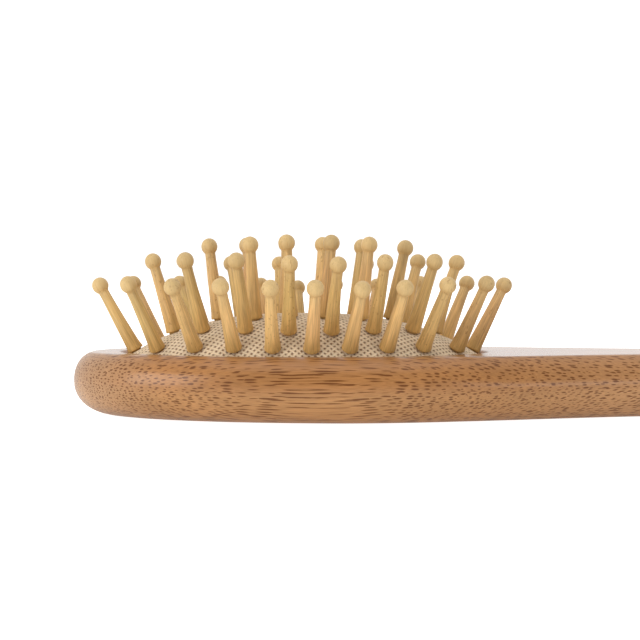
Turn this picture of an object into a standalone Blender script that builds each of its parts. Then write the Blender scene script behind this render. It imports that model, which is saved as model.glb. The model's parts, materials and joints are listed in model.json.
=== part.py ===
"""Cushioned paddle brush: a one-piece bamboo body, a domed rubber cushion with a woven face, ball-ended pins.

The brush lies on its flat back. X runs from the head's tip to the handle's end, Z points up through the pins,
and the origin is at the middle of the back. All sizes are in metres.
"""

import math

import bmesh
import bpy
import numpy as np
from mathutils import Quaternion, Vector

# Body.
LENGTH = 0.222
THICKNESS = 0.0141
BELLY_HEIGHT = 0.0077  # height of the widest line of the rounded side above the back
TOP_EDGE_INSET = 0.0042  # how far the rounded side leans in to the top face
BACK_EDGE_INSET = 0.0066  # how far it leans in to the back
NOSE_UNDERCUT = 0.0034  # how much further it leans in to the back at the head's tip
EDGE_FULLNESS = 2.2  # exponent of the side's two quarter curves, 2 for an ellipse
SIDE_RIM = 0.0077  # wood between the cushion's mouth and the head's side
TIP_RIM = 0.0109  # wood between the cushion's mouth and the head's tip
SHOULDER_REACH = 0.0070  # the head is widest this far past the cushion's centre
NOSE_ROUNDNESS = 2.08
NECK_REACH = 0.0960  # from the cushion's centre to the narrowest point of the neck
NECK_WIDTH = 0.0312
HANDLE_WIDTH = 0.0350
HANDLE_CAP_LENGTH = 0.0240
CAP_ROUNDNESS = 2.2

# Cushion.
MOUTH_LENGTH = 0.0826
MOUTH_WIDTH = 0.0467
MOUTH_BEVEL = 0.0008
DOME_HEIGHT = 0.01015
DOME_EXPONENT = 2.6
RIM_STEP = 0.00145  # the dome starts this far below the wood's top face
FLOOR_THICKNESS = 0.0060
FABRIC_THICKNESS = 0.0005
RUBBER_THICKNESS = 0.0012
FABRIC_SKIRT = 0.0016
CLEARANCE = 0.0003
GROOVE_TOP = 0.0026  # below the dome's base plane
GROOVE_HEIGHT = 0.0022
GROOVE_DEPTH = 0.0017
VENT_RADIUS = 0.0010

# Pins. Heights run along the pin, from where its axis crosses the woven face.
BALL_RADIUS = 0.0018
BALL_CENTRE = 0.0166
SHANK_TOP_RADIUS = 0.00118
SHANK_FOOT_RADIUS = 0.00180
STEM_RADIUS = 0.00120
FLANGE_RADIUS = 0.00185
FLANGE_THICKNESS = 0.0010
FLANGE_CLEARANCE = 0.0007
HOLE_RADIUS = STEM_RADIUS + CLEARANCE
PIN_TO_MOUTH = 0.0030
FAN = 0.87  # how much of the dome's slope the pins lean by, 1 for square to the face

# Each ring: name, share of the outer ring's length and width, roundness, share of the ring's half length
# that its two rows reach, and the pins in each of those rows. One more pin stands at each end of the ring.
RINGS = (
    ("outer", 1.000, 1.000, 1.86, 0.866, 9),
    ("middle", 0.776, 0.776, 1.76, 0.785, 6),
    ("inner", 0.510, 0.380, 2.60, 0.606, 4),
)
LEAN_ALONG = 2.5  # degrees that a pin may stand off true along X
LEAN_ACROSS = 2.0  # and along Y
LEAN_SEED = 1

# Mesh resolution.
NOSE_STEPS = 10
SIDE_STEPS = 14
CAP_STEPS = 8
EDGE_STEPS = 4
ELLIPSE_SIDES = 48
DOME_STEPS = 6
PIN_SIDES = 8

HALF_MOUTH_X = MOUTH_LENGTH / 2
HALF_MOUTH_Y = MOUTH_WIDTH / 2
HALF_DOME_X = HALF_MOUTH_X - CLEARANCE
HALF_DOME_Y = HALF_MOUTH_Y - CLEARANCE
CUSHION_X = -LENGTH / 2 + TIP_RIM + HALF_MOUTH_X
DOME_BASE = THICKNESS - RIM_STEP
RUBBER_DEPTH = FABRIC_THICKNESS + CLEARANCE
RUBBER_BACK = RUBBER_DEPTH + RUBBER_THICKNESS


def clear_scene():
    """Remove whatever the scene starts with."""
    for obj in list(bpy.data.objects):
        bpy.data.objects.remove(obj, do_unlink=True)


def material(name, colour, roughness):
    """A plain Principled finish."""
    finish = bpy.data.materials.new(name)
    finish.use_nodes = True
    shader = finish.node_tree.nodes["Principled BSDF"]
    shader.inputs["Base Color"].default_value = (*colour, 1.0)
    shader.inputs["Roughness"].default_value = roughness
    shader.inputs["Metallic"].default_value = 0.0
    return finish


def add_object(name, mesh, finish=None):
    """Link a mesh to the scene as one named object."""
    obj = bpy.data.objects.new(name, mesh)
    bpy.context.scene.collection.objects.link(obj)
    if finish and not mesh.materials:
        mesh.materials.append(finish)
    return obj


def loft(name, rings, start_point=None, end_point=None):
    """A closed skin through rings of equal length, ended by a fan to a point or by a flat cap."""
    bm = bmesh.new()
    loops = [[bm.verts.new(p) for p in ring] for ring in rings]
    count = len(loops[0])
    for lower, upper in zip(loops, loops[1:]):
        for i in range(count):
            j = (i + 1) % count
            bm.faces.new((lower[i], lower[j], upper[j], upper[i]))
    for loop, point in ((loops[0][::-1], start_point), (loops[-1], end_point)):
        if point is None:
            bm.faces.new(loop)
            continue
        tip = bm.verts.new(point)
        for i in range(count):
            bm.faces.new((loop[i], loop[(i + 1) % count], tip))
    bmesh.ops.recalc_face_normals(bm, faces=bm.faces)
    mesh = bpy.data.meshes.new(name)
    bm.to_mesh(mesh)
    bm.free()
    mesh.shade_smooth()
    mesh.set_sharp_from_angle(angle=math.radians(35))
    return mesh


def subtract(obj, cutter):
    """Cut one object's solid out of another's with a live Boolean."""
    cut = obj.modifiers.new(f"cut {cutter.name}", "BOOLEAN")
    cut.operation = "DIFFERENCE"
    cut.solver = "EXACT"
    cut.object = cutter
    cutter.hide_render = True
    cutter.display_type = "WIRE"


# Body.


def neck_half_width(x):
    """Half width from the head's widest point to the handle's cap: a cosine fall, then a slight swell."""
    shoulder = CUSHION_X + SHOULDER_REACH
    neck = CUSHION_X + NECK_REACH
    cap = LENGTH / 2 - HANDLE_CAP_LENGTH
    head = HALF_MOUTH_Y + SIDE_RIM
    fall = np.clip((x - shoulder) / (neck - shoulder), 0.0, 1.0)
    swell = np.clip((x - neck) / max(cap - neck, CLEARANCE), 0.0, 1.0)
    width = NECK_WIDTH / 2 + (head - NECK_WIDTH / 2) * (1 + np.cos(math.pi * fall)) / 2
    return width + (HANDLE_WIDTH - NECK_WIDTH) / 2 * (1 - np.cos(math.pi * swell)) / 2


def body_outline():
    """The widest outline seen from above, counter-clockwise: superellipse nose and cap, smooth sides."""
    shoulder = CUSHION_X + SHOULDER_REACH
    cap = LENGTH / 2 - HANDLE_CAP_LENGTH
    nose_length = shoulder + LENGTH / 2
    turn = np.linspace(0, math.pi / 2, NOSE_STEPS + 1)
    nose = np.column_stack((
        shoulder - nose_length * np.cos(turn) ** (2 / NOSE_ROUNDNESS),
        (HALF_MOUTH_Y + SIDE_RIM) * np.sin(turn) ** (2 / NOSE_ROUNDNESS),
    ))
    x = np.linspace(shoulder, cap, SIDE_STEPS + 1)[1:-1]
    side = np.column_stack((x, neck_half_width(x)))
    turn = np.linspace(math.pi / 2, 0, CAP_STEPS + 1)
    end = np.column_stack((
        cap + HANDLE_CAP_LENGTH * np.cos(turn) ** (2 / CAP_ROUNDNESS),
        HANDLE_WIDTH / 2 * np.sin(turn) ** (2 / CAP_ROUNDNESS),
    ))
    half = np.vstack((nose, side, end))
    half[[0, -1], 1] = 0.0
    mirrored = half[1:-1] * (1, -1)
    return np.vstack((half[::-1], mirrored))


def inset_outline(outline, inset):
    """The closed outline moved inwards, square to itself, by one distance or by one for each point."""
    ahead = np.roll(outline, -1, axis=0) - np.roll(outline, 1, axis=0)
    ahead /= np.linalg.norm(ahead, axis=1)[:, None]
    return outline + np.reshape(inset, (-1, 1)) * np.column_stack((-ahead[:, 1], ahead[:, 0]))


def back_edge_inset(outline):
    """How far the side leans in to the back at each point: further towards the tip, where it curves up."""
    shoulder = CUSHION_X + SHOULDER_REACH
    towards_tip = np.clip((shoulder - outline[:, 0]) / (shoulder + LENGTH / 2), 0.0, 1.0)
    return BACK_EDGE_INSET + NOSE_UNDERCUT * towards_tip


def side_rings(outline):
    """Rings up the rounded side, from the back's edge over the belly to the top face's edge."""
    turn = np.linspace(0, math.pi / 2, EDGE_STEPS + 1)
    reach = 1 - np.sin(turn) ** (2 / EDGE_FULLNESS)
    rise = np.cos(turn) ** (2 / EDGE_FULLNESS)
    back = back_edge_inset(outline)
    steps = [(share * back, BELLY_HEIGHT * (1 - up)) for share, up in zip(reach, rise)]
    above = THICKNESS - BELLY_HEIGHT
    for share, up in zip(reach[-2::-1], rise[-2::-1]):
        steps.append((share * TOP_EDGE_INSET, BELLY_HEIGHT + above * up))
    return [[(x, y, z) for x, y in inset_outline(outline, inset)] for inset, z in steps]


def make_body(finish):
    """The bamboo head and handle, with the cushion's recess cut into it."""
    body = add_object("brush_body", loft("brush_body", side_rings(body_outline())), finish)
    subtract(body, make_recess_cutter())
    return body


def ellipse(grow, z):
    """A ring round the cushion's centre, the mouth's outline grown by a distance, at a height."""
    turn = np.arange(ELLIPSE_SIDES) * 2 * math.pi / ELLIPSE_SIDES
    x = CUSHION_X + (HALF_MOUTH_X + grow) * np.cos(turn)
    y = (HALF_MOUTH_Y + grow) * np.sin(turn)
    return np.column_stack((x, y, np.full(ELLIPSE_SIDES, z)))


def make_recess_cutter():
    """The recess: floor, groove for the rubber's bead, mouth, and the bevel round the mouth."""
    groove_top = DOME_BASE - GROOVE_TOP
    groove_floor = groove_top - GROOVE_HEIGHT
    steps = (
        (0.0, FLOOR_THICKNESS),
        (0.0, groove_floor),
        (GROOVE_DEPTH, groove_floor),
        (GROOVE_DEPTH, groove_top),
        (0.0, groove_top),
        (0.0, THICKNESS - MOUTH_BEVEL),
        (MOUTH_BEVEL, THICKNESS),
        (MOUTH_BEVEL, THICKNESS + MOUTH_BEVEL),
    )
    return add_object("recess cutter", loft("recess cutter", [ellipse(*step) for step in steps]))


# Cushion.


def dome_point(x, y):
    """Height above the back, and the slopes along X and Y, of the woven face at a point from its centre."""
    r = max(math.hypot(x / HALF_DOME_X, y / HALF_DOME_Y), 1e-6)
    slope = DOME_HEIGHT * DOME_EXPONENT * r ** (DOME_EXPONENT - 2)
    height = DOME_BASE + DOME_HEIGHT * (1 - r**DOME_EXPONENT)
    return height, slope * x / HALF_DOME_X**2, slope * y / HALF_DOME_Y**2


def dome_ring(share, depth):
    """A ring on the dome at a share of its radius, moved down square to the face by a depth."""
    ring = []
    for i in range(ELLIPSE_SIDES):
        turn = i * 2 * math.pi / ELLIPSE_SIDES
        x, y = share * HALF_DOME_X * math.cos(turn), share * HALF_DOME_Y * math.sin(turn)
        z, slope_x, slope_y = dome_point(x, y)
        ring.append(Vector((CUSHION_X + x, y, z)) - depth * Vector((slope_x, slope_y, 1)).normalized())
    return ring


def dome_rings(depth):
    """Rings from near the dome's top out to its edge."""
    return [dome_ring(math.sin(math.pi / 2 * (i + 1) / DOME_STEPS), depth) for i in range(DOME_STEPS)]


def dome_top(depth):
    """The dome's highest point, a depth below the woven face."""
    return CUSHION_X, 0, DOME_BASE + DOME_HEIGHT - depth


def make_fabric(finish, holes):
    """The woven face: a thin dome with a short skirt inside the mouth."""
    hem = DOME_BASE - FABRIC_SKIRT
    rings = dome_rings(0.0)
    rings += [ellipse(-CLEARANCE, hem), ellipse(-CLEARANCE - FABRIC_THICKNESS, hem)]
    rings += dome_rings(FABRIC_THICKNESS)[::-1]
    mesh = loft("fabric_face", rings, dome_top(0.0), dome_top(FABRIC_THICKNESS))
    face = add_object("fabric_face", mesh, finish)
    subtract(face, holes)
    return face


def make_rubber(finish, holes):
    """The rubber cushion: a domed wall that turns out into a bead, which the body's groove holds."""
    bead_top = DOME_BASE - GROOVE_TOP - CLEARANCE
    bead_foot = DOME_BASE - GROOVE_TOP - GROOVE_HEIGHT + CLEARANCE
    outer = -CLEARANCE - RUBBER_DEPTH
    inner = -CLEARANCE - RUBBER_BACK
    rings = dome_rings(RUBBER_DEPTH)
    rings += [ellipse(outer, bead_top), ellipse(GROOVE_DEPTH - CLEARANCE, bead_top)]
    rings += [ellipse(GROOVE_DEPTH - CLEARANCE, bead_foot), ellipse(inner, bead_foot)]
    rings += [ellipse(inner, DOME_BASE - RUBBER_BACK - CLEARANCE)]
    rings += dome_rings(RUBBER_BACK)[::-1]
    mesh = loft("rubber_cushion", rings, dome_top(RUBBER_DEPTH), dome_top(RUBBER_BACK))
    cushion = add_object("rubber_cushion", mesh, finish)
    subtract(cushion, holes)
    return cushion


# Pins.


def ring_places(length_share, width_share, roundness, reach, row_count):
    """Each pin's place from the cushion's centre, the near row, the far row, then the two ends."""
    half_x = length_share * (HALF_MOUTH_X - PIN_TO_MOUTH)
    half_y = width_share * (HALF_MOUTH_Y - PIN_TO_MOUTH)
    places = []
    for side in (-1, 1):
        for step in np.linspace(-reach, reach, row_count):
            y = side * half_y * (1 - abs(step) ** roundness) ** (1 / roundness)
            places.append((step * half_x, y))
    return places + [(-half_x, 0.0), (half_x, 0.0)]


def pin_axis(x, y, sway, nod):
    """Foot and direction of a pin that leans with the dome, swayed along X and nodding nearer, in degrees."""
    z, slope_x, slope_y = dome_point(x, y)
    lean = Vector((FAN * slope_x, FAN * slope_y, 1)).normalized()
    lean.rotate(Quaternion((0, 1, 0), math.radians(sway)))
    lean.rotate(Quaternion((1, 0, 0), math.radians(nod)))
    return Vector((CUSHION_X + x, y, z)), lean


def pin_places():
    """Every pin's node name, foot and direction, each pin a little off true at random."""
    luck = np.random.default_rng(LEAN_SEED)
    places = []
    for name, *layout in RINGS:
        for number, (x, y) in enumerate(ring_places(*layout), start=1):
            sway, nod = luck.uniform((-LEAN_ALONG, -LEAN_ACROSS), (LEAN_ALONG, LEAN_ACROSS))
            places.append((f"pin_{name}_{number:02d}", *pin_axis(x, y, sway, nod)))
    return places


def circle(radius, height, sides=PIN_SIDES):
    """A ring round the Z axis."""
    turns = [i * 2 * math.pi / sides for i in range(sides)]
    return [(radius * math.cos(turn), radius * math.sin(turn), height) for turn in turns]


def pin_mesh(finish):
    """One turned pin: flange, stem through the cushion, tapered shank and ball."""
    flange_top = -RUBBER_BACK - FLANGE_CLEARANCE
    shank_top = BALL_CENTRE - math.sqrt(BALL_RADIUS**2 - SHANK_TOP_RADIUS**2)
    steps = [
        (FLANGE_RADIUS, flange_top - FLANGE_THICKNESS),
        (FLANGE_RADIUS, flange_top),
        (STEM_RADIUS, flange_top),
        (STEM_RADIUS, CLEARANCE),
        (SHANK_FOOT_RADIUS, CLEARANCE),
        (SHANK_TOP_RADIUS, shank_top),
    ]
    for turn in np.radians((-22, 15, 50)):
        steps.append((BALL_RADIUS * math.cos(turn), BALL_CENTRE + BALL_RADIUS * math.sin(turn)))
    mesh = loft("pin", [circle(*step) for step in steps], end_point=(0, 0, BALL_CENTRE + BALL_RADIUS))
    mesh.materials.append(finish)
    return mesh


def make_pins(finish):
    """All pins, each its own object on the shared mesh, with its origin at its foot."""
    mesh = pin_mesh(finish)
    for name, foot, direction in pin_places():
        pin = add_object(name, mesh)
        pin.location = foot
        pin.rotation_mode = "QUATERNION"
        pin.rotation_quaternion = Vector((0, 0, 1)).rotation_difference(direction)


def make_hole_cutter():
    """One cylinder through the cushion for each pin, and one for the vent."""
    bm = bmesh.new()
    reach = 2 * RUBBER_BACK
    places = [(foot, direction, HOLE_RADIUS) for _, foot, direction in pin_places()]
    places.append((Vector(dome_top(0.0)), Vector((0, 0, 1)), VENT_RADIUS))
    for foot, direction, radius in places:
        turn = Vector((0, 0, 1)).rotation_difference(direction).to_matrix().to_4x4()
        turn.translation = foot - direction * RUBBER_DEPTH
        bmesh.ops.create_cone(
            bm, cap_ends=True, segments=PIN_SIDES, radius1=radius, radius2=radius,
            depth=2 * reach, matrix=turn
        )
    mesh = bpy.data.meshes.new("hole cutter")
    bm.to_mesh(mesh)
    bm.free()
    return add_object("hole cutter", mesh)


def main():
    """Build every piece."""
    clear_scene()
    holes = make_hole_cutter()
    make_body(material("laminated bamboo", (0.46, 0.25, 0.11), 0.35))
    make_rubber(material("natural rubber", (0.62, 0.50, 0.34), 0.7), holes)
    make_fabric(material("woven face", (0.80, 0.70, 0.55), 0.9), holes)
    make_pins(material("pin bamboo", (0.62, 0.38, 0.16), 0.5))


main()
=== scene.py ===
"""Paddle brush with a bamboo body, an air cushion with a woven face, and ball-ended bamboo pins.

Every surface is worked out with numpy on a grid of two parameters, in metres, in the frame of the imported
model: X from the head's tip to the handle's end, Z up through the pins, and the flat back on Z = 0.
"""

from __future__ import annotations

import json
import logging
import math
from dataclasses import dataclass, field
from enum import Enum
from typing import Any

import bpy
import numpy as np
from mathutils import Euler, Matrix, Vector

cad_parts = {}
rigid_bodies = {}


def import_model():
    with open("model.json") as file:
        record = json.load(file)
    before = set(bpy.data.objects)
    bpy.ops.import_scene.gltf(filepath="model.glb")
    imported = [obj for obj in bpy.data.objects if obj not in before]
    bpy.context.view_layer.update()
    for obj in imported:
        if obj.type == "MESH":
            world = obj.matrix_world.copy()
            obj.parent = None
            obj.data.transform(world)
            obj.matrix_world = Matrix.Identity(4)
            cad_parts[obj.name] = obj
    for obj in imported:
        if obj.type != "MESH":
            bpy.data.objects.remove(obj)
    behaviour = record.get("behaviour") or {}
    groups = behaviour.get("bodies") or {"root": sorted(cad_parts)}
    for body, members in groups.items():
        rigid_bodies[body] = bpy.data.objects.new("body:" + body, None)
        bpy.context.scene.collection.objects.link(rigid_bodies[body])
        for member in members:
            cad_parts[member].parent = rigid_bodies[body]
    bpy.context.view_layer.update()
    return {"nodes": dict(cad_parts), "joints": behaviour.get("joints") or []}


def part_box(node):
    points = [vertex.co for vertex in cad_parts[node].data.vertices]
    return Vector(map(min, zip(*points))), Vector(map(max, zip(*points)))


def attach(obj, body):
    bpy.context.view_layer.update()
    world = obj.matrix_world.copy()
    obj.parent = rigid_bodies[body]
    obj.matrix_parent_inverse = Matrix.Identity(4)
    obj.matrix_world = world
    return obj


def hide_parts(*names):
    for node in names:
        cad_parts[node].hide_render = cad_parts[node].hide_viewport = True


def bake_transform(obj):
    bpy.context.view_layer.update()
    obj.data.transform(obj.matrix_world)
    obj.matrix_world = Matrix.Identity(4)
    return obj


LOG = logging.getLogger("paddle_brush")
MM = 0.001
IN_MM = (1 / MM, 1 / MM, 1 / MM)
PIN_PITCH = 100.0  # how far apart the pins' own grain coordinates lie, in millimetres

Array = np.ndarray
Colour = tuple[float, float, float]


# Meshes.


class CapKind(Enum):
    """How a stack of rings is closed at one end."""

    OPEN = "open"
    FLAT = "flat"
    POLE = "pole"


def ring_quads(rings: int, sides: int, first: int = 0) -> Array:
    """Quads between neighbouring closed rings, numbered ring by ring.

    Args:
        rings: How many rings.
        sides: How many points each ring has.
        first: The first point's number.

    Returns:
        One row of four point numbers a quad: each point, its neighbour, and the two above them.
    """
    ring, side = np.meshgrid(np.arange(rings - 1), np.arange(sides), indexing="ij")
    here = first + ring * sides + side
    beside = first + ring * sides + (side + 1) % sides
    return np.stack((here, beside, beside + sides, here + sides), axis=-1).reshape(-1, 4)


def skin(
    name: str,
    rings: Array,
    start: CapKind = CapKind.FLAT,
    end: CapKind = CapKind.FLAT,
    closed: bool = False,
) -> bpy.types.Object:
    """A smooth skin over a stack of rings.

    Args:
        name: The piece's name.
        rings: Points by ring and side, rings x sides x 3.
        start: How the first ring is closed.
        end: How the last ring is closed.
        closed: True where the last ring joins the first, as on a tube bent into a loop.

    Returns:
        The new object, at the origin, with its place in its mesh.
    """
    count, sides, _ = rings.shape
    points = [rings.reshape(-1, 3)]
    faces: list[Any] = ring_quads(count, sides).tolist()
    if closed:
        last, first = (count - 1) * sides + np.arange(sides), np.arange(sides)
        faces += np.stack((last, np.roll(last, -1), np.roll(first, -1), first), axis=-1).tolist()
    total = count * sides
    for kind, loop in ((start, np.arange(sides)[::-1]), (end, (count - 1) * sides + np.arange(sides))):
        if kind is CapKind.FLAT:
            faces.append(loop.tolist())
        elif kind is CapKind.POLE:
            points.append(rings.reshape(-1, 3)[loop].mean(axis=0)[None])
            faces += np.stack((loop, np.roll(loop, -1), np.full(sides, total)), axis=-1).tolist()
            total += 1
    mesh = bpy.data.meshes.new(name)
    mesh.from_pydata(np.vstack(points).tolist(), [], faces)
    mesh.validate()
    mesh.shade_smooth()
    piece = bpy.data.objects.new(name, mesh)
    bpy.context.scene.collection.objects.link(piece)
    return piece


def set_point_vectors(piece: bpy.types.Object, name: str, values: Array) -> None:
    """Store one vector a point in a named attribute of a piece's mesh."""
    attribute = piece.data.attributes.new(name, "FLOAT_VECTOR", "POINT")
    attribute.data.foreach_set("vector", values.astype(np.float32).ravel())


def set_uv_by_point(piece: bpy.types.Object, name: str, values: Array) -> None:
    """Store one UV pair a point in a named UV map of a piece's mesh."""
    corners = np.empty(len(piece.data.loops), dtype=np.int32)
    piece.data.loops.foreach_get("vertex_index", corners)
    layer = piece.data.uv_layers.new(name=name)
    layer.uv.foreach_set("vector", values[corners].astype(np.float32).ravel())


def ease(value: Array | float) -> Array | float:
    """A smooth step from 0 to 1: three squares less two cubes of the value, held between 0 and 1."""
    held = np.clip(value, 0.0, 1.0)
    return held * held * (3 - 2 * held)


# Node sheets.


class NodeSheet:
    """A short-hand for wiring shader nodes in one tree."""

    def __init__(self, tree: bpy.types.NodeTree) -> None:
        """Keep the tree."""
        self.tree = tree

    def node(self, kind: str, **settings: Any) -> bpy.types.Node:
        """Add a node of a kind and set its properties."""
        made = self.tree.nodes.new(kind)
        for name, value in settings.items():
            setattr(made, name, value)
        return made

    def feed(self, socket: bpy.types.NodeSocket, value: Any) -> None:
        """Give a socket a value, or a link where the value is another socket."""
        if isinstance(value, bpy.types.NodeSocket):
            self.tree.links.new(value, socket)
        else:
            socket.default_value = value

    def math(self, operation: str, *values: Any, clamp: bool = False) -> bpy.types.NodeSocket:
        """One Math node."""
        made = self.node("ShaderNodeMath", operation=operation, use_clamp=clamp)
        for socket, value in zip(made.inputs, values):
            self.feed(socket, value)
        return made.outputs[0]

    def vector(self, operation: str, *values: Any) -> bpy.types.NodeSocket:
        """One Vector Math node that puts out a vector."""
        made = self.node("ShaderNodeVectorMath", operation=operation)
        for socket, value in zip(made.inputs, values):
            self.feed(socket, value)
        return made.outputs[0]

    def scaled(self, vector: Any, scale: tuple[float, float, float]) -> bpy.types.NodeSocket:
        """A vector times another, part by part."""
        return self.vector("MULTIPLY", vector, scale)

    def split(self, vector: Any) -> tuple[bpy.types.NodeSocket, ...]:
        """The three parts of a vector."""
        made = self.node("ShaderNodeSeparateXYZ")
        self.feed(made.inputs[0], vector)
        return tuple(made.outputs)

    def join(self, x: Any = 0.0, y: Any = 0.0, z: Any = 0.0) -> bpy.types.NodeSocket:
        """A vector from three parts."""
        made = self.node("ShaderNodeCombineXYZ")
        for socket, value in zip(made.inputs, (x, y, z)):
            self.feed(socket, value)
        return made.outputs[0]

    def noise(self, vector: Any, scale: float = 1.0, detail: float = 2.0) -> bpy.types.Node:
        """A noise texture on a vector."""
        made = self.node("ShaderNodeTexNoise")
        for socket, value in (("Vector", vector), ("Scale", scale), ("Detail", detail), ("Roughness", 0.5)):
            self.feed(made.inputs[socket], value)
        return made

    def span(
        self, value: Any, low: Any, high: Any, to_low: Any = 0.0, to_high: Any = 1.0
    ) -> bpy.types.NodeSocket:
        """A smooth step of a value from one range onto another."""
        made = self.node("ShaderNodeMapRange", interpolation_type="SMOOTHSTEP")
        for socket, given in zip(made.inputs, (value, low, high, to_low, to_high)):
            self.feed(socket, given)
        return made.outputs[0]

    def blend(self, share: Any, first: Any, second: Any, mode: str = "MIX") -> bpy.types.NodeSocket:
        """A mix of two colours."""
        made = self.node("ShaderNodeMix", data_type="RGBA", blend_type=mode)
        for index, value in ((0, share), (6, first), (7, second)):
            self.feed(made.inputs[index], (*value, 1.0) if isinstance(value, tuple) else value)
        return made.outputs[2]

    def shade(self, colour: Any, factor: Any) -> bpy.types.NodeSocket:
        """A colour times a number."""
        made = self.node("ShaderNodeVectorMath", operation="SCALE")
        self.feed(made.inputs[0], colour)
        self.feed(made.inputs["Scale"], factor)
        return made.outputs[0]

    def place(self, group: bpy.types.NodeTree, **values: Any) -> bpy.types.Node:
        """Place a node group and set its inputs by name, with underscores for spaces."""
        made = self.node("ShaderNodeGroup", node_tree=group)
        for name, value in values.items():
            self.feed(made.inputs[name.replace("_", " ")], value)
        return made


class Socket(Enum):
    """The kinds of socket that a node group may have."""

    NUMBER = "NodeSocketFloat"
    VECTOR = "NodeSocketVector"


def new_group(
    name: str, inputs: dict[str, Socket], outputs: dict[str, Socket]
) -> tuple[NodeSheet, dict[str, bpy.types.NodeSocket], bpy.types.Node]:
    """A shader node group with named inputs and outputs.

    Args:
        name: The group's name.
        inputs: Each input's kind by name.
        outputs: Each output's kind by name.

    Returns:
        The sheet to wire it on, its input sockets by name, and its output node.
    """
    tree = bpy.data.node_groups.new(name, "ShaderNodeTree")
    for way, sockets in (("INPUT", inputs), ("OUTPUT", outputs)):
        for title, kind in sockets.items():
            tree.interface.new_socket(name=title, in_out=way, socket_type=kind.value)
    sheet = NodeSheet(tree)
    entry, leave = sheet.node("NodeGroupInput"), sheet.node("NodeGroupOutput")
    return sheet, {socket.name: socket for socket in entry.outputs if socket.name}, leave


def fibre_group() -> bpy.types.NodeTree:
    """Bamboo's bundles of fibres, which run along X of the vector given, in millimetres.

    The bundles stand on the cells of a flat pattern across the grain. Slow noise bends them sideways along
    their length, so a cut across them shows dots and a cut along them shows dashes.
    """
    inputs = {"Vector": Socket.VECTOR} | dict.fromkeys(("Spacing", "Drift", "Size"), Socket.NUMBER)
    outputs = {"Fleck": Socket.NUMBER, "Streak": Socket.NUMBER}
    sheet, given, leave = new_group("bamboo_fibres", inputs, outputs)
    slow = sheet.noise(sheet.scaled(given["Vector"], (1 / 26, 1 / 22, 1 / 22)), detail=1.5).outputs["Color"]
    bend = sheet.vector("MULTIPLY", sheet.vector("SUBTRACT", slow, (0.5, 0.5, 0.5)), sheet.join(
        0.0, given["Drift"], given["Drift"]))
    _, across, up = sheet.split(sheet.vector("ADD", given["Vector"], bend))
    flat = sheet.join(*(sheet.math("DIVIDE", way, given["Spacing"]) for way in (across, up)))
    cells = sheet.node("ShaderNodeTexVoronoi", voronoi_dimensions="2D")
    sheet.feed(cells.inputs["Vector"], flat)
    sheet.feed(cells.inputs["Scale"], 1.0)
    sheet.feed(cells.inputs["Randomness"], 0.72)
    change, _, _ = sheet.split(cells.outputs["Color"])
    broken = sheet.noise(sheet.scaled(given["Vector"], (1 / 5, 1 / 0.8, 1 / 0.8)), detail=2.0).outputs[0]
    size = sheet.math("MULTIPLY", given["Size"], sheet.span(broken, 0.30, 0.62, 0.45, 1.2))
    size = sheet.math("MULTIPLY", size, sheet.span(change, 0.0, 1.0, 0.7, 1.15))
    fleck = sheet.span(cells.outputs["Distance"], sheet.math("MULTIPLY", size, 0.45), size, 1.0, 0.0)
    streak = sheet.noise(sheet.scaled(given["Vector"], (1 / 9, 1 / 0.25, 1 / 0.25)), detail=3.0).outputs[0]
    sheet.feed(leave.inputs["Fleck"], fleck)
    sheet.feed(leave.inputs["Streak"], streak)
    return sheet.tree


def tone_group() -> bpy.types.NodeTree:
    """A slow change of tone over a surface, from a little under 1 to a little over 1."""
    inputs = {"Vector": Socket.VECTOR, "Patch": Socket.NUMBER, "Strength": Socket.NUMBER}
    sheet, given, leave = new_group("slow_tone", inputs, {"Factor": Socket.NUMBER})
    patch = sheet.math("DIVIDE", 1.0, given["Patch"])
    noise = sheet.noise(given["Vector"], detail=2.5)
    sheet.feed(noise.inputs["Scale"], patch)
    swing = sheet.math("MULTIPLY", sheet.math("SUBTRACT", noise.outputs[0], 0.5), given["Strength"])
    sheet.feed(leave.inputs["Factor"], sheet.math("ADD", swing, 1.0))
    return sheet.tree


def weave_group() -> bpy.types.NodeTree:
    """A plain weave of round threads on a flat vector in millimetres.

    Each thread's height is half a circle across its width, times a wave along it that is up at every other
    crossing. The threads of the other way use the opposite wave, and the higher of the two shows.
    """
    inputs = {"Vector": Socket.VECTOR, "Pitch": Socket.NUMBER, "Fill": Socket.NUMBER}
    outputs = {"Height": Socket.NUMBER, "Gap": Socket.NUMBER}
    sheet, given, leave = new_group("plain_weave", inputs, outputs)
    wobble = sheet.noise(given["Vector"], scale=0.9, detail=1.0).outputs["Color"]
    wobble = sheet.scaled(sheet.vector("SUBTRACT", wobble, (0.5, 0.5, 0.5)), (0.42, 0.42, 0.0))
    u, v, _ = sheet.split(sheet.vector("ADD", given["Vector"], wobble))
    along = [sheet.math("DIVIDE", way, given["Pitch"]) for way in (u, v)]
    heights, edges = [], []
    for own, other, phase in ((along[0], along[1], 0.0), (along[1], along[0], 1.0)):
        off = sheet.math("ABSOLUTE", sheet.math("SUBTRACT", sheet.math("FRACT", own), 0.5))
        across = sheet.math("DIVIDE", sheet.math("MULTIPLY", off, 2.0), given["Fill"])
        square = sheet.math("MULTIPLY", across, across)
        round_ = sheet.math("SQRT", sheet.math("SUBTRACT", 1.0, square, clamp=True))
        turn = sheet.math("ADD", sheet.math("ADD", other, sheet.math("FLOOR", own)), phase - 0.5)
        wave = sheet.math("COSINE", sheet.math("MULTIPLY", turn, math.pi))
        lift = sheet.math("ADD", sheet.math("MULTIPLY", wave, 0.2), 0.8)
        heights.append(sheet.math("MULTIPLY", round_, lift))
        edges.append(sheet.span(across, 0.74, 1.16))
    sheet.feed(leave.inputs["Height"], sheet.math("MAXIMUM", *heights))
    sheet.feed(leave.inputs["Gap"], sheet.math("MULTIPLY", *edges))
    return sheet.tree


# Finishes.


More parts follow.
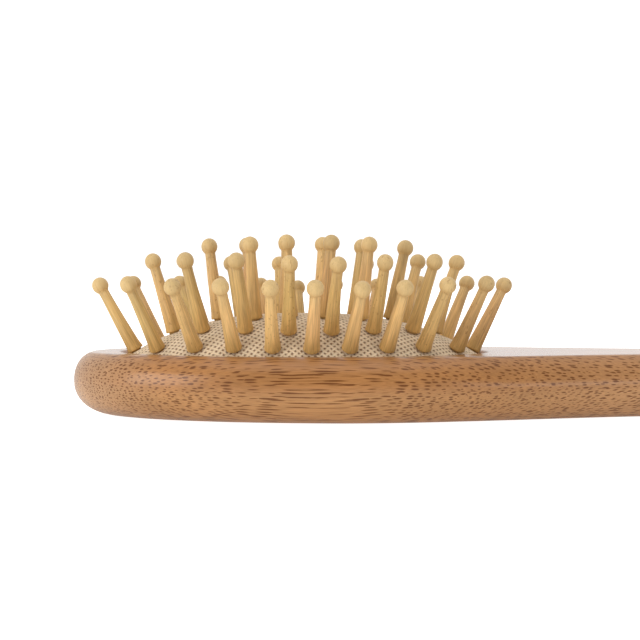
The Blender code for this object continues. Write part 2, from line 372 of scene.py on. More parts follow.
@dataclass(frozen=True)
class Finish:
    """What every finish of the brush has: a name, a colour, and the shader's constant values."""

    name: str
    colour: Colour
    roughness: float = 0.5
    specular: float = 0.5
    coat: float = 0.0
    coat_roughness: float = 0.1
    sheen: float = 0.0

    def begin(self) -> tuple[bpy.types.Material, NodeSheet, bpy.types.Node]:
        """A new material, its sheet, and its Principled shader with the constant values set."""
        made = bpy.data.materials.new(self.name)
        made.use_nodes = True
        sheet = NodeSheet(made.node_tree)
        shader = made.node_tree.nodes["Principled BSDF"]
        constants = (
            ("Base Color", (*self.colour, 1.0)),
            ("Roughness", self.roughness), ("Specular IOR Level", self.specular),
            ("Coat Weight", self.coat), ("Coat Roughness", self.coat_roughness), ("Sheen Weight", self.sheen),
        )
        for name, value in constants:
            shader.inputs[name].default_value = value
        return made, sheet, shader

    def bump(
        self, sheet: NodeSheet, shader: bpy.types.Node, height: Any, distance: float, strength: float
    ) -> None:
        """Raise the surface by a height, the distance in metres."""
        made = sheet.node("ShaderNodeBump")
        made.inputs["Strength"].default_value = strength
        made.inputs["Distance"].default_value = distance
        sheet.feed(made.inputs["Height"], height)
        sheet.feed(shader.inputs["Normal"], made.outputs["Normal"])


@dataclass(frozen=True)
class LacqueredBamboo(Finish):
    """The body's laminated bamboo, with a satin lacquer on its sides and a glossier one on its flat top."""

    fleck: Colour = (0.125, 0.038, 0.006)
    lower: Colour = (0.415, 0.205, 0.075)
    # Paler colour for the nose's end grain and a painted highlight there, and for a painted reflection
    # towards the handle.
    end_grain_and_reflection: Colour = (0.440, 0.270, 0.150)
    glue_height: float = 7.0
    upper_spacing: float = 0.62
    lower_spacing: float = 0.50
    drift: float = 2.2
    saw_slope: float = 0.07
    bundle: float = 0.36
    satin: float = 0.34

    def build(self, fibres: bpy.types.NodeTree, tone: bpy.types.NodeTree) -> bpy.types.Material:
        """Two glued layers, each with its own tint and spacing of bundles, sawn a little off their run."""
        made, sheet, shader = self.begin()
        place = sheet.scaled(sheet.node("ShaderNodeTexCoord").outputs["Object"], IN_MM)
        _, _, up = sheet.split(place)
        layer = sheet.span(up, self.glue_height - 1.5, self.glue_height + 1.5)
        strip = sheet.math("GREATER_THAN", up, self.glue_height)
        spacing = sheet.math("ADD", self.lower_spacing, sheet.math(
            "MULTIPLY", strip, self.upper_spacing - self.lower_spacing))
        run, across, _ = sheet.split(place)
        sawn = sheet.join(run, sheet.math("ADD", across, sheet.math("MULTIPLY", run, self.saw_slope)), up)
        grain = sheet.place(fibres, Vector=sawn, Spacing=spacing, Drift=self.drift, Size=self.bundle)
        slow = sheet.place(tone, Vector=sheet.scaled(place, (0.25, 1.0, 1.0)), Patch=7.0, Strength=0.55)
        wood = sheet.blend(layer, self.lower, self.colour)
        # Blend towards the paler colour: at the nose, partly its end grain and partly a painted highlight;
        # from the neck on towards the handle, about a fifth of it as a painted reflection of the white
        # surround.
        tip_end = sheet.span(run, -112.0, -88.0, 0.65, 0.0)
        end_and_reflection_share = sheet.math("ADD", tip_end, sheet.span(run, -25.0, 20.0, 0.0, 0.22))
        wood = sheet.blend(end_and_reflection_share, wood, self.end_grain_and_reflection)
        lines = sheet.span(grain.outputs["Streak"], 0.25, 0.75, 0.86, 1.13)
        wood = sheet.shade(wood, sheet.math("MULTIPLY", lines, slow.outputs[0]))
        wood = sheet.blend(sheet.math("MULTIPLY", grain.outputs["Fleck"], 0.92), wood, self.fleck)
        # Painted shade: the first part of this attribute darkens the recess walls below the mouth's rounding
        # by up to seven tenths; the second part marks the flat top, which gets the glossier coat.
        shade_and_level = sheet.node("ShaderNodeAttribute", attribute_name="routed").outputs["Vector"]
        routed, flat, _ = sheet.split(shade_and_level)
        wood = sheet.shade(wood, sheet.math("SUBTRACT", 1.0, sheet.math("MULTIPLY", routed, 0.7)))
        sheet.feed(shader.inputs["Base Color"], wood)
        sheet.feed(shader.inputs["Coat Weight"], sheet.span(flat, 0.0, 1.0, self.satin, self.coat))
        ripple = sheet.math("MULTIPLY", grain.outputs["Streak"], 0.3)
        self.bump(sheet, shader, sheet.math("SUBTRACT", ripple, grain.outputs["Fleck"]), 0.00002, 0.4)
        return made


@dataclass(frozen=True)
class TurnedBamboo(Finish):
    """The pins' pale bamboo, with its fibres along each pin."""

    warm: Colour = (0.68, 0.395, 0.170)
    green: Colour = (0.63, 0.435, 0.160)
    # Darker, warmer colour at each pin's foot: painted shade between the close-set pins.
    foot: Colour = (0.58, 0.350, 0.115)
    line: Colour = (0.32, 0.165, 0.055)
    height: float = 18.0

    def build(self, fibres: bpy.types.NodeTree, tone: bpy.types.NodeTree) -> bpy.types.Material:
        """Pale fibres read from each pin's own grain attribute, darker and warmer at the foot as painted
        shade, dark knots on some.
        """
        made, sheet, shader = self.begin()
        own = sheet.node("ShaderNodeAttribute", attribute_name="grain").outputs["Vector"]
        along, _, _ = sheet.split(own)
        grain = sheet.place(fibres, Vector=own, Spacing=0.62, Drift=1.1, Size=0.22)
        slow = sheet.place(tone, Vector=sheet.scaled(own, (0.3, 1.0, 1.0)), Patch=3.0, Strength=0.30)
        level = sheet.math("FLOORED_MODULO", along, PIN_PITCH)
        tints = sheet.node("ShaderNodeAttribute", attribute_name="tint").outputs["Vector"]
        hue, paleness, flawed = sheet.split(tints)
        tint = sheet.blend(hue, self.green, self.warm)
        # Painted shade: the lower shank blends into the darker foot colour.
        shank = sheet.blend(sheet.span(level, -1.0, self.height * 0.4), self.foot, tint)
        wood = sheet.blend(sheet.span(level, self.height * 0.55, self.height), shank, self.colour)
        wood = sheet.shade(wood, sheet.math("ADD", 0.92, sheet.math("MULTIPLY", paleness, 0.16)))
        lines = sheet.span(grain.outputs["Streak"], 0.25, 0.75, 0.80, 1.15)
        bands = sheet.noise(sheet.scaled(own, (1 / 30, 1 / 0.9, 1 / 0.9)), detail=1.0).outputs[0]
        lines = sheet.math("MULTIPLY", lines, sheet.span(bands, 0.35, 0.65, 0.88, 1.08))
        calm = sheet.span(level, self.height * 0.80, self.height * 0.88, 1.0, 0.3)
        lines = sheet.math("ADD", 1.0, sheet.math("MULTIPLY", sheet.math("SUBTRACT", lines, 1.0), calm))
        wood = sheet.shade(wood, sheet.math("MULTIPLY", lines, slow.outputs[0]))
        wood = sheet.blend(sheet.math("MULTIPLY", grain.outputs["Fleck"], 0.20), wood, self.line)
        knots = sheet.noise(sheet.scaled(own, (1 / 0.9, 1 / 0.6, 1 / 0.6)), detail=2.0).outputs[0]
        marked = sheet.math("MULTIPLY", sheet.span(knots, 0.60, 0.70), sheet.span(flawed, 0.55, 0.75))
        wood = sheet.blend(sheet.math("MULTIPLY", marked, 0.55), wood, self.line)
        sheet.feed(shader.inputs["Base Color"], wood)
        self.bump(sheet, shader, grain.outputs["Streak"], 0.00004, 0.5)
        return made


@dataclass(frozen=True)
class WovenFace(Finish):
    """The cushion's cream open weave, laid slantwise, with the rubber showing in its gaps."""

    gap: Colour = (0.25, 0.145, 0.080)
    pitch: float = 1.10
    fill: float = 0.66

    def build(self, weave: bpy.types.NodeTree, tone: bpy.types.NodeTree) -> bpy.types.Material:
        """A weave on the cloth's own flat coordinates, turned an eighth of a turn."""
        made, sheet, shader = self.begin()
        turn = sheet.node("ShaderNodeMapping")
        sheet.feed(turn.inputs["Vector"], sheet.node("ShaderNodeUVMap", uv_map="cloth").outputs[0])
        turn.inputs["Rotation"].default_value = Euler((0.0, 0.0, math.radians(45)))
        cloth = sheet.place(weave, Vector=turn.outputs[0], Pitch=self.pitch, Fill=self.fill)
        slow = sheet.place(tone, Vector=turn.outputs[0], Patch=5.0, Strength=0.40)
        fluff = sheet.noise(turn.outputs[0], scale=7.0, detail=2.0).outputs[0]
        height = cloth.outputs["Height"]
        lit = sheet.math("MULTIPLY", sheet.span(height, 0.1, 0.95, 0.62, 1.05), slow.outputs[0])
        thread = sheet.shade((*self.colour,), lit)
        thread = sheet.shade(thread, sheet.span(fluff, 0.2, 0.8, 0.9, 1.1))
        sheet.feed(shader.inputs["Base Color"], sheet.blend(cloth.outputs["Gap"], thread, self.gap))
        self.bump(sheet, shader, sheet.math("ADD", height, sheet.math("MULTIPLY", fluff, 0.15)), 0.00022, 0.9)
        return made


@dataclass(frozen=True)
class NaturalRubber(Finish):
    """The cushion's tan rubber."""

    def build(self, tone: bpy.types.NodeTree) -> bpy.types.Material:
        """Rubber with a slow change of tone and a fine powdery grain."""
        made, sheet, shader = self.begin()
        place = sheet.scaled(sheet.node("ShaderNodeTexCoord").outputs["Object"], IN_MM)
        slow = sheet.place(tone, Vector=place, Patch=6.0, Strength=0.25)
        powder = sheet.noise(place, scale=3.0, detail=3.0).outputs[0]
        sheet.feed(shader.inputs["Base Color"], sheet.shade((*self.colour,), slow.outputs[0]))
        sheet.feed(shader.inputs["Roughness"], sheet.span(powder, 0.2, 0.8, 0.6, 0.85))
        self.bump(sheet, shader, powder, 0.00005, 0.4)
        return made


# Sub-assemblies.


@dataclass
class Dome:
    """The cushion's domed surface, shared by the cloth, the rubber and the mouth in the wood."""

    exponent: float = 2.6
    skirt: float = 0.0016
    centre_x: float = field(init=False)
    half_x: float = field(init=False)
    half_y: float = field(init=False)
    base: float = field(init=False)
    height: float = field(init=False)

    def __post_init__(self) -> None:
        """Read the dome's place and size from the woven face's box."""
        low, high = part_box("fabric_face")
        self.centre_x = (low[0] + high[0]) / 2
        self.half_x, self.half_y = (high[0] - low[0]) / 2, (high[1] - low[1]) / 2
        self.base = low[2] + self.skirt
        self.height = high[2] - self.base

    def surface(self, x: Array, y: Array) -> tuple[Array, Array]:
        """Points and normals of the dome over places in plan.

        The height falls from the top by the radius, in shares of the edge, raised to the exponent.

        Args:
            x: Places along X from the cushion's centre.
            y: Places along Y.

        Returns:
            The points and the unit normals, each with three numbers along its last axis.
        """
        r = np.maximum(np.hypot(x / self.half_x, y / self.half_y), 1e-6)
        z = self.base + self.height * (1 - r**self.exponent)
        slope = self.height * self.exponent * r ** (self.exponent - 2)
        tilt = (slope * x / self.half_x**2, slope * y / self.half_y**2, np.ones_like(x))
        normal = np.stack(tilt, axis=-1)
        normal /= np.linalg.norm(normal, axis=-1, keepdims=True)
        return np.stack((self.centre_x + x, y, z), axis=-1), normal

    def plan(self, shares: Array, turns: Array, vent: float) -> tuple[Array, Array]:
        """Places in plan that grow from a round vent hole to the dome's edge.

        Args:
            shares: Shares of the way from the hole to the edge, one a ring.
            turns: Angles round the centre, one a side.
            vent: The hole's radius.

        Returns:
            X and Y from the centre, rings x sides.
        """
        share, turn = np.meshgrid(shares, turns, indexing="ij")
        x = np.cos(turn) * (vent + (self.half_x - vent) * share)
        return x, np.sin(turn) * (vent + (self.half_y - vent) * share)

    def ellipse(self, turns: Array, grow: float, z: float) -> Array:
        """A level ring, the dome's edge grown by a distance."""
        x = self.centre_x + (self.half_x + grow) * np.cos(turns)
        return np.stack((x, (self.half_y + grow) * np.sin(turns), np.full_like(turns, z)), axis=-1)


@dataclass
class Pin:
    """Where one pin stands."""

    name: str
    foot: Array
    direction: Array


def read_pins(frame: dict[str, Any]) -> list[Pin]:
    """Every pin's foot and direction, from its joint's place and the furthest point of its solid."""
    hinges = [joint for joint in frame["joints"] if joint["type"] == "hinge"]
    feet = {joint["child"]: np.array(joint["pos_m"]) for joint in hinges}
    pins = []
    for name, foot in sorted(feet.items()):
        mesh = frame["nodes"][name].data
        points = np.empty(len(mesh.vertices) * 3)
        mesh.vertices.foreach_get("co", points)
        reach = points.reshape(-1, 3) - foot
        top = reach[np.argmax(np.linalg.norm(reach, axis=1))]
        pins.append(Pin(name, foot, top / np.linalg.norm(top)))
    return pins


@dataclass
class BambooBody:
    """The head and handle, in one piece."""

    dome: Dome
    side_rim: float = 0.0077
    shoulder_reach: float = 0.0070
    neck_reach: float = 0.0960
    neck_half: float = 0.0156
    handle_half: float = 0.0175
    cap_length: float = 0.0240
    nose_roundness: float = 2.08
    cap_roundness: float = 2.2
    belly: float = 0.0077
    top_inset: float = 0.0042
    back_inset: float = 0.0066
    nose_undercut: float = 0.0034
    head_fullness: float = 2.2
    neck_fullness: float = 1.58
    ridge_start: float = 0.012
    ridge_fade: float = 0.035
    floor: float = 0.0060
    groove_top: float = 0.0026
    groove_height: float = 0.0022
    groove_depth: float = 0.0017
    clearance: float = 0.0003
    mouth_round: float = 0.0011
    hem: float = 0.0004
    mouth_fade: float = 0.0006
    level_fade: float = 0.0003
    arris: float = 0.25
    nose_steps: int = 70
    side_steps: int = 90
    cap_steps: int = 40
    edge_steps: int = 12

    def outline(self) -> Array:
        """The widest outline from above, counter-clockwise.

        The nose and the handle's cap are quarter superellipses, whose cosine and sine are raised to two over
        the roundness. Between them half a cosine wave falls from the head to the neck, and another swells to
        the cap.
        """
        low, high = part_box("brush_body")
        head = self.dome.half_y + self.clearance + self.side_rim
        shoulder = self.dome.centre_x + self.shoulder_reach
        neck, cap = self.dome.centre_x + self.neck_reach, high[0] - self.cap_length
        turn = np.linspace(0, math.pi / 2, self.nose_steps + 1)
        power = 2 / self.nose_roundness
        nose = np.column_stack((
            shoulder - (shoulder - low[0]) * np.cos(turn) ** power, head * np.sin(turn) ** power))
        x = np.linspace(shoulder, cap, self.side_steps + 1)[1:-1]
        fall = (1 + np.cos(math.pi * np.clip((x - shoulder) / (neck - shoulder), 0, 1))) / 2
        swell = (1 - np.cos(math.pi * np.clip((x - neck) / (cap - neck), 0, 1))) / 2
        width = self.neck_half + (head - self.neck_half) * fall
        width = width + (self.handle_half - self.neck_half) * swell
        turn = np.linspace(math.pi / 2, 0, self.cap_steps + 1)
        power = 2 / self.cap_roundness
        end = np.column_stack((
            cap + self.cap_length * np.cos(turn) ** power, self.handle_half * np.sin(turn) ** power))
        half = np.vstack((nose, np.column_stack((x, width)), end))
        half[[0, -1], 1] = 0.0
        return np.vstack((half[::-1], half[1:-1] * (1, -1)))

    def side_rings(self, outline: Array) -> Array:
        """Rings up the rounded side.

        Each quarter of the side is a superellipse between the outline at the belly and a flat face's edge.
        Its exponent falls from the head to the neck, where the belly becomes a soft ridge. The upper quarter
        starts at a small angle and not at nought, and is stretched to fit, which leaves a crisp arris round
        the top.
        """
        ahead = np.roll(outline, -1, axis=0) - np.roll(outline, 1, axis=0)
        ahead /= np.linalg.norm(ahead, axis=1)[:, None]
        inward = np.column_stack((-ahead[:, 1], ahead[:, 0]))
        low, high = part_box("brush_body")
        thickness, shoulder = high[2], self.dome.centre_x + self.shoulder_reach
        way = np.clip((shoulder - outline[:, 0]) / (shoulder - low[0]), 0, 1)
        back_inset = self.back_inset + self.nose_undercut * way
        along = (outline[:, 0] - self.dome.centre_x - self.ridge_start) / self.ridge_fade
        fullness = self.head_fullness + (self.neck_fullness - self.head_fullness) * ease(along)
        rings = []
        power = 2 / fullness[None, :]
        for inset, start, first in ((back_inset, 0.0, 0.0), (self.top_inset, thickness, self.arris)):
            turn = np.linspace(first, math.pi / 2, self.edge_steps + 1)
            reach = inset * (1 - np.sin(turn)[:, None] ** power) / (1 - math.sin(first) ** power)
            z = self.belly + (start - self.belly) * (np.cos(turn)[:, None] / math.cos(first)) ** power
            place = outline[None] + reach[..., None] * inward[None]
            rings.append(np.concatenate((place, z[..., None]), axis=-1))
        hem = outline + (back_inset + self.hem)[:, None] * inward
        back = np.column_stack((hem, np.zeros(len(hem))))[None]
        hem = outline + (self.top_inset + self.hem) * inward
        top = np.column_stack((hem, np.full(len(hem), thickness)))[None]
        return np.concatenate((back, rings[0], rings[1][::-1][1:], top))

    def recess_rings(self, top: Array) -> Array:
        """Rings from the top face's edge into the recess: rounded mouth, wall, groove, wall and floor."""
        centre = np.array((self.dome.centre_x, 0.0))
        turns = np.arctan2(top[:, 1] / self.dome.half_y, (top[:, 0] - centre[0]) / self.dome.half_x)
        thickness, base = top[0, 2], self.dome.base
        bend = np.linspace(0, math.pi / 2, 6)
        bulge = self.mouth_round
        steps = [
            (self.clearance + bulge * (1 - math.sin(t)), thickness - bulge * (1 - math.cos(t))) for t in bend
        ]
        groove_low = base - self.groove_top - self.groove_height
        steps += [
            (self.clearance, base - self.groove_top + 0.0001), (self.clearance, base - self.groove_top),
            (self.clearance + self.groove_depth, base - self.groove_top),
            (self.clearance + self.groove_depth, groove_low),
            (self.clearance, groove_low), (self.clearance, self.floor), (-self.hem, self.floor),
        ]
        inside = np.stack([self.dome.ellipse(turns, grow, z) for grow, z in steps])
        lip = self.dome.ellipse(turns, self.clearance + bulge + self.hem, thickness)
        share = ease(np.linspace(0, 1, 8))[1:, None, None]
        return np.concatenate((top + (lip - top) * share, inside))

    def build(self, finish: bpy.types.Material) -> bpy.types.Object:
        """The whole body as one closed skin, from the back over the side and the top into the recess."""
        sides = self.side_rings(self.outline())
        inside = self.recess_rings(sides[-1])
        body = skin("bamboo_body", np.concatenate((sides, inside)))
        # Painted shade for the recess: a mask that rises from nought just under the mouth's rounding to one a
        # little deeper, stored with a mask of the flat top.
        below = (sides[-1, 0, 2] - inside[..., 2]).ravel()
        depth = np.concatenate((np.zeros(sides[..., 2].size), below))
        routed = np.clip((depth - self.mouth_round * 0.6) / self.mouth_fade, 0, 1)
        height = np.concatenate((sides[..., 2].ravel(), inside[..., 2].ravel()))
        level = np.clip((height - sides[-1, 0, 2] + self.level_fade) / self.level_fade, 0, 1)
        set_point_vectors(body, "routed", np.column_stack((routed, level, np.zeros_like(level))))
        body.data.materials.append(finish)
        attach(body, "brush")
        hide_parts("brush_body")
        return body


@dataclass
class AirCushion:
    """The rubber cushion and its woven face."""

    dome: Dome
    pins: list[Pin]
    cloth: float = 0.0005
    gap: float = 0.0003
    rubber: float = 0.0012
    bead_reach: float = 0.0017
    bead_top: float = 0.0029
    bead_foot: float = 0.0045
    vent: float = 0.0010
    cloth_rings: int = 96
    cloth_sides: int = 360
    rubber_rings: int = 48
    rubber_sides: int = 240
    give: float = 0.0015
    cloth_dimple: tuple[float, float] = (0.0003, 0.0023)
    rubber_dimple: tuple[float, float] = (0.0002, 0.0026)

    def dimpled(self, points: Array, normals: Array, depth: float, width: float) -> Array:
        """Points pulled in round each pin: a bell curve of the distance to the nearest pin's foot."""
        feet = np.array([pin.foot for pin in self.pins])
        flat = points.reshape(-1, 1, 3)
        near = np.sqrt(((flat - feet[None]) ** 2).sum(axis=-1)).min(axis=1)
        near = near.reshape(points.shape[:-1])
        pull = depth * np.exp(-((near / width) ** 4))
        return points - pull[..., None] * normals

    def make_cloth(self, finish: bpy.types.Material) -> bpy.types.Object:
        """The woven face: the dome from its vent to its edge, a short skirt, and the same back underneath.

        Its UV map is the flat cloth in millimetres: each point's arc length from the centre, along its
        bearing.
        """
        turns = np.linspace(0, 2 * math.pi, self.cloth_sides, endpoint=False)
        shares = np.linspace(0, 1, self.cloth_rings)
        x, y = self.dome.plan(shares, turns, self.vent)
        points, normals = self.dome.surface(x, y)
        upper = self.dimpled(points, normals, *self.cloth_dimple)
        lower = upper - self.cloth * normals
        hem = self.dome.base - self.dome.skirt
        skirt = [self.dome.ellipse(turns, -0.00002, z) for z in np.linspace(self.dome.base - 0.0003, hem, 4)]
        turn_up = [self.dome.ellipse(turns, -self.cloth, z) for z in (hem, self.dome.base - 0.0009)]
        rings = np.concatenate((upper, np.stack(skirt + turn_up), lower[::-1]))
        cloth = skin("woven_face", rings, CapKind.OPEN, CapKind.OPEN, closed=True)
        step = np.diff(points, axis=0, prepend=points[:1])
        arc = np.cumsum(np.linalg.norm(step, axis=-1), axis=0) + self.vent
        bearing = np.arctan2(y, x)
        flat = np.stack((arc * np.cos(bearing), arc * np.sin(bearing)), axis=-1) / MM
        edge = np.repeat(flat[-1:], len(skirt) + len(turn_up), axis=0)
        set_uv_by_point(cloth, "cloth", np.concatenate((flat, edge, flat[::-1])).reshape(-1, 2))
        cloth.data.materials.append(finish)
        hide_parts("fabric_face")
        return cloth

    def make_rubber(self, finish: bpy.types.Material) -> bpy.types.Object:
        """The rubber cushion: a domed wall under the cloth whose edge turns out into the groove's bead."""
        turns = np.linspace(0, 2 * math.pi, self.rubber_sides, endpoint=False)
        x, y = self.dome.plan(np.linspace(0, 1, self.rubber_rings), turns, self.vent)
        points, normals = self.dome.surface(x, y)
        points = self.dimpled(points, normals, *self.rubber_dimple)
        outer, inner = self.cloth + self.gap, self.cloth + self.gap + self.rubber
        top, foot = self.dome.base - self.bead_top, self.dome.base - self.bead_foot
        bend = np.linspace(math.pi / 2, -math.pi / 2, 9)
        middle, half = (top + foot) / 2, (top - foot) / 2
        bead = [
            self.dome.ellipse(turns, self.bead_reach - half * (1 - math.cos(t)), middle + half * math.sin(t))
            for t in bend
        ]
        heights = np.linspace(self.dome.base - outer - 0.0003, top, 5)
        wall = [self.dome.ellipse(turns, -outer, z) for z in heights]
        levels = (foot, foot + 0.0006, self.dome.base - inner - 0.0002)
        back = [self.dome.ellipse(turns, -inner, z) for z in levels]
        under = (points - inner * normals)[::-1]
        rings = np.concatenate((points - outer * normals, np.stack(wall + bead + back), under))
        rubber = skin("rubber_wall", rings, CapKind.OPEN, CapKind.OPEN, closed=True)
        rubber.data.materials.append(finish)
        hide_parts("rubber_cushion")
        return rubber

    def build(self, cloth: bpy.types.Material, rubber: bpy.types.Material) -> list[bpy.types.Object]:
        """Both pieces. The groove holds the bead still."""
        made = [self.make_cloth(cloth), self.make_rubber(rubber)]
        for piece in made:
            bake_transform(piece)
        return made


@dataclass
class PinSet:
    """The ball-ended turned pins, each a little different."""

    pins: list[Pin]
    ball: float = 0.0019
    ball_height: float = 0.0166
    neck: float = 0.00118
    foot: float = 0.00184
    foot_round: float = 0.00025
    stem: float = 0.0012
    flange: float = 0.00185
    flange_top: float = 0.0026
    flange_foot: float = 0.0036
    sink: float = 0.0001
    bevel: float = 0.0002
    swell: float = 0.14
    flat_depth: float = 0.024
    fault_depth: float = 0.012
    thinnest: float = -0.03
    bow: float = 0.00012
    sides: int = 40
    seed: int = 7

    def profile(self) -> tuple[Array, Array]:
        """Radius and height down the pin, from the flange under the rubber to the ball's top.

        The shank is a taper with a slight swell at the foot, which falls off as the cube of the height left.
        The ball is an arc, which starts a little above where the shank meets it.
        """
        bend = np.linspace(-math.pi / 2, 0, 6)
        rounding = self.foot_round
        foot = [(self.foot + rounding * (np.cos(bend) - 1), self.sink + rounding * (1 + np.sin(bend)))]
        share = np.linspace(0, 1, 26)[1:]
        start = self.sink + self.foot_round
        top = self.ball_height - math.sqrt(self.ball**2 - self.neck**2) - 0.0001
        left = 1 - share
        taper = self.neck + (self.foot - self.neck) * ((1 - self.swell) * left + self.swell * left**3)
        foot.append((taper, start + (top - start) * share))
        meet = math.asin(-math.sqrt(1 - (self.neck / self.ball) ** 2))
        rise = np.linspace(meet + 0.10, math.pi / 2 - 0.02, 22)
        foot.append((self.ball * np.cos(rise), self.ball_height + self.ball * np.sin(rise)))
        radius, height = (np.concatenate(parts) for parts in zip(*foot))
        bevel = self.bevel
        edge, top, low = self.flange - bevel, self.flange_top, self.flange_foot
        hidden_r = np.array((edge, self.flange, self.flange, edge, self.stem, self.stem))
        hidden_z = -np.array((low, low - bevel, top + bevel, top, top, -self.sink))
        return np.concatenate((hidden_r, radius)), np.concatenate((hidden_z, height))

    def shape(self, luck: np.random.Generator) -> Array:
        """One pin about Z: the turned profile, with the knife's flats and the ball's small faults.

        The flats are three waves round the pin that die out towards the ball, the ball's faults two more.
        Each wave only takes wood away, so no pin is wider than the turned profile about its own bowed line.
        """
        radius, height = self.profile()
        turns = np.linspace(0, 2 * math.pi, self.sides, endpoint=False)
        share = np.clip(height / self.ball_height, 0, 1)[:, None]
        phases, depths = luck.uniform(0, 2 * math.pi, 5), luck.uniform(0.2, 1.0, 5)
        flats = sum(
            depth * (np.cos(wave * turns + phase + twist * share) - 1)
            for depth, wave, phase, twist in zip(depths[:3], (3, 5, 7), phases, (0.8, -0.6, 0.4)))
        faults = sum(
            depth * (np.cos(wave * turns + phase + 5 * share) - 1)
            for depth, wave, phase in zip(depths[3:], (2, 4), phases[3:]))
        shank = ease((share - 0.02) / 0.1) * (1 - ease((share - 0.80) / 0.1))
        head = ease((share - 0.86) / 0.08)
        grown = radius[:, None] * (1 + self.flat_depth * flats * shank + self.fault_depth * faults * head)
        grown = grown * (1 + luck.uniform(self.thinnest, 0.0) * ease(share / 0.1))
        bow = luck.uniform(-self.bow, self.bow, 2)[:, None, None] * np.sin(math.pi * share)
        z = np.broadcast_to(height[:, None], grown.shape)
        return np.stack((grown * np.cos(turns) + bow[0], grown * np.sin(turns) + bow[1], z), axis=-1)

    def build(self, finish: bpy.types.Material) -> list[bpy.types.Object]:
        """Every pin in its place, each with a grain attribute: its own upright coordinates in millimetres."""
        made = []
        luck = np.random.default_rng(self.seed)
        for number, pin in enumerate(self.pins):
            own = self.shape(luck)
            side = np.cross(pin.direction, (0.0, 1.0, 0.0))
            side /= np.linalg.norm(side)
            axes = np.stack((side, np.cross(pin.direction, side), pin.direction))
            name = pin.name.replace("pin_", "turned_pin_")
            piece = skin(name, pin.foot + own @ axes, CapKind.FLAT, CapKind.POLE)
            grain = np.vstack((own.reshape(-1, 3), own[-1].mean(axis=0)[None]))[:, (2, 0, 1)] / MM
            set_point_vectors(piece, "grain", grain + (PIN_PITCH * number, 0.0, 0.0))
            set_point_vectors(piece, "tint", np.tile(luck.uniform(0, 1, 3), (len(grain), 1)))
            piece.data.materials.append(finish)
            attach(piece, pin.name)
            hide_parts(pin.name)
            made.append(piece)
        return made


# Stage.


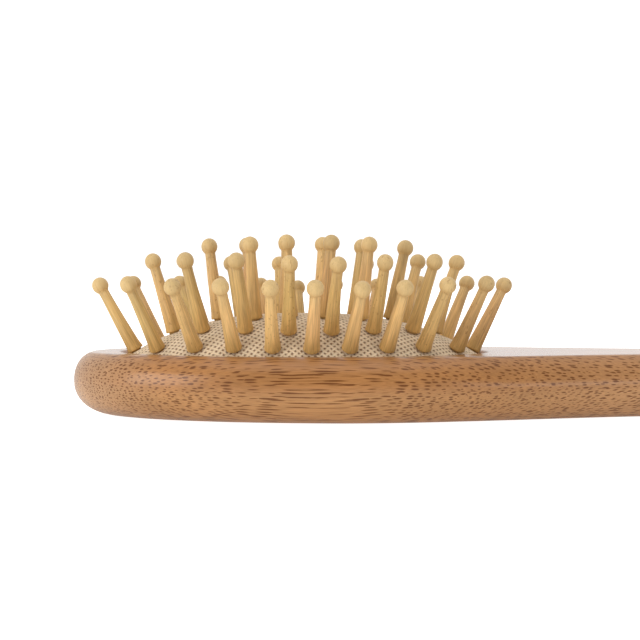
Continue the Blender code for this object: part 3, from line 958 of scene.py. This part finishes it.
@dataclass
class Studio:
    """The camera, the pale floor and the soft light."""

    focus_x: float
    focus_z: float
    back: float = 0.34726
    aside: float = -0.02234
    above: float = 0.01980
    yaw: float = 0.07357
    pitch: float = 0.03238
    roll: float = 0.0040
    lens: float = 86.04
    sensor: float = 36.0
    floor_size: float = 6.0
    floor_drop: float = 0.0002
    floor_glow: float = 0.35
    floor_seen: float = 0.6
    front_level: float = 0.17
    back_level: float = 1.10
    left_power: float = 4.4
    top_power: float = 1.9
    right_power: float = 1.7

    def build(self) -> None:
        """Set up the view, the floor and the light."""
        self.make_camera()
        self.make_floor()
        self.make_light()

    def make_camera(self) -> None:
        """A long lens a little above the cushion's rim, turned slightly towards the handle."""
        data = bpy.data.cameras.new("view")
        data.lens, data.sensor_width = self.lens, self.sensor
        data.clip_start, data.clip_end = 0.01, 20.0
        camera = bpy.data.objects.new("view", data)
        camera.location = (self.focus_x + self.aside, -self.back, self.focus_z + self.above)
        camera.rotation_euler = (math.pi / 2 - self.pitch, -self.roll, -self.yaw)
        bpy.context.scene.collection.objects.link(camera)
        bpy.context.scene.camera = camera

    def make_floor(self) -> None:
        """A wide pale sheet just under the brush, lit from within like a light table."""
        half = self.floor_size / 2
        corners = np.array([(-half, -half), (half, -half), (half, half), (-half, half)])
        mesh = bpy.data.meshes.new("floor")
        places = np.column_stack((corners, np.full(4, -self.floor_drop)))
        mesh.from_pydata(places.tolist(), [], [(0, 1, 2, 3)])
        floor = bpy.data.objects.new("floor", mesh)
        bpy.context.scene.collection.objects.link(floor)
        pale = bpy.data.materials.new("pale_floor")
        pale.use_nodes = True
        shader = pale.node_tree.nodes["Principled BSDF"]
        shader.inputs["Base Color"].default_value = (0.8, 0.8, 0.8, 1.0)
        shader.inputs["Roughness"].default_value = 0.9
        shader.inputs["Emission Color"].default_value = (1.0, 1.0, 1.0, 1.0)
        sheet = NodeSheet(pale.node_tree)
        seen = sheet.node("ShaderNodeLightPath").outputs["Is Camera Ray"]
        glow = sheet.math("ADD", self.floor_glow, sheet.math("MULTIPLY", seen, self.floor_seen))
        sheet.feed(shader.inputs["Emission Strength"], glow)
        mesh.materials.append(pale)

    def make_light(self) -> None:
        """A white surround and soft boxes from the left, above and the right."""
        scene = bpy.context.scene
        scene.view_settings.view_transform = "Standard"
        world = bpy.data.worlds.new("surround")
        world.use_nodes = True
        scene.world = world
        sheet = NodeSheet(world.node_tree)
        back = world.node_tree.nodes["Background"]
        _, ahead, _ = sheet.split(sheet.node("ShaderNodeTexCoord").outputs["Generated"])
        level = sheet.span(ahead, -0.7, 0.4, self.front_level, self.back_level)
        seen = sheet.node("ShaderNodeLightPath").outputs["Is Camera Ray"]
        back.inputs["Color"].default_value = (1.0, 1.0, 1.0, 1.0)
        white = sheet.math("MULTIPLY", seen, 1.2)
        sheet.feed(back.inputs["Strength"], sheet.math("MAXIMUM", level, white))
        for name, place, turn, size, power in (
            ("left box", (-0.75, -0.55, 0.24), (75, 0, -52), 0.5, self.left_power),
            ("top box", (-0.05, -0.25, 0.8), (18, 0, 0), 0.7, self.top_power),
            ("right box", (0.6, -0.6, 0.09), (85, 0, 45), 0.40, self.right_power),
        ):
            data = bpy.data.lights.new(name, "AREA")
            data.shape, data.size, data.energy = "SQUARE", size, power
            light = bpy.data.objects.new(name, data)
            light.location, light.rotation_euler = place, Euler([math.radians(t) for t in turn])
            scene.collection.objects.link(light)


def main() -> None:
    """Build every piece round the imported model."""
    logging.basicConfig(level=logging.INFO, format="%(message)s")
    for piece in list(bpy.data.objects):
        bpy.data.objects.remove(piece, do_unlink=True)
    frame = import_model()
    fibres, tone, weave = fibre_group(), tone_group(), weave_group()
    bamboo = LacqueredBamboo(
        "lacquered_bamboo", (0.372, 0.166, 0.054), 0.42, 0.18, coat=0.95, coat_roughness=0.22)
    turned = TurnedBamboo("turned_bamboo", (0.60, 0.415, 0.185), 0.5, 0.3)
    cloth = WovenFace("cream_weave", (0.71, 0.555, 0.375), 0.85, specular=0.2, sheen=0.1)
    rubber = NaturalRubber("tan_rubber", (0.42, 0.27, 0.15), 0.7, specular=0.3)
    dome, pins = Dome(), read_pins(frame)
    pieces = [BambooBody(dome).build(bamboo.build(fibres, tone))]
    pieces += AirCushion(dome, pins).build(cloth.build(weave, tone), rubber.build(tone))
    pieces += PinSet(pins).build(turned.build(fibres, tone))
    for piece in pieces:
        LOG.info("%s: %d faces", piece.name, len(piece.data.polygons))
    Studio(dome.centre_x, dome.base).build()


if __name__ == "__main__":
    main()
